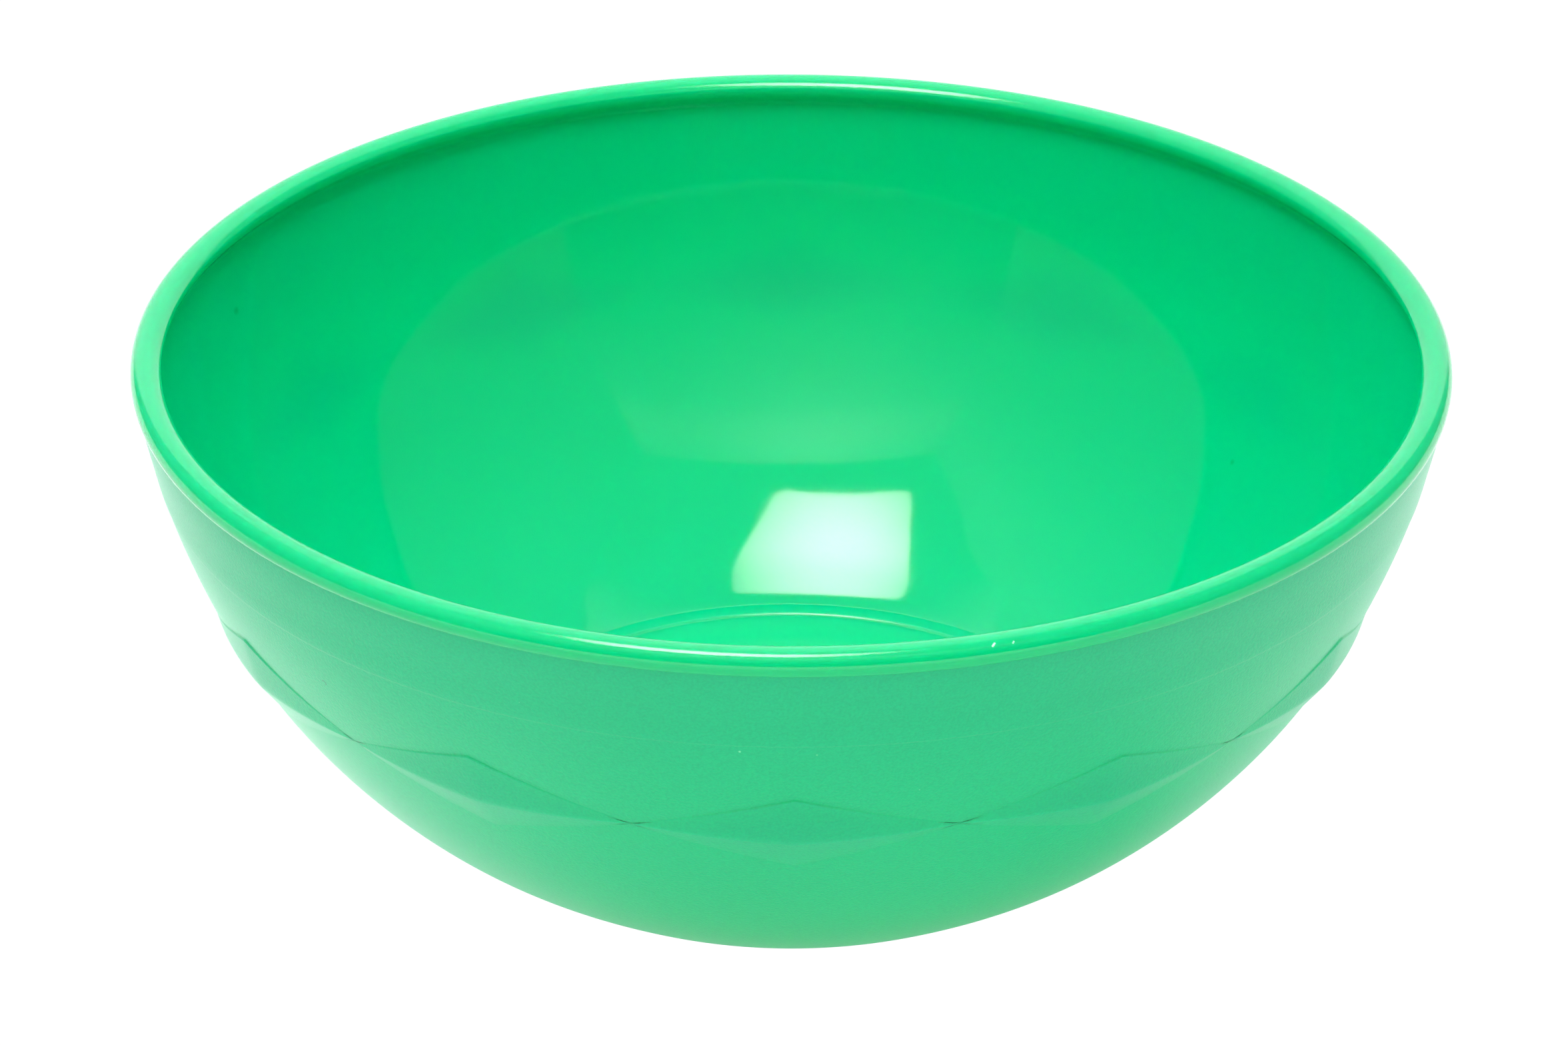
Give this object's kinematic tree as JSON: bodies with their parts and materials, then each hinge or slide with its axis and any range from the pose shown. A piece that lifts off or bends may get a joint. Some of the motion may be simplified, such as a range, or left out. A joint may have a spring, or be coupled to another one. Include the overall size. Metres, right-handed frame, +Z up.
{
  "type": "mixing bowl",
  "caption": "Round plastic mixing bowl with a rounded lip, smooth glossy inside, satin outside with a row of low diamond bosses, and a flat base.",
  "frame": {"origin": "on the bowl's axis, in the plane that it stands on", "axes": "+Z up along the bowl's axis, out of its mouth; one diamond boss faces -Y"},
  "size_m": [0.3, 0.3, 0.1162],
  "materials": {
    "bowl_plastic": "bright green food-grade plastic, glossy inside and on the lip, fine satin moulded texture on the outside below the lip"
  },
  "bodies": {
    "root": {"bowl": "bowl_plastic"}
  },
  "joints": []
}
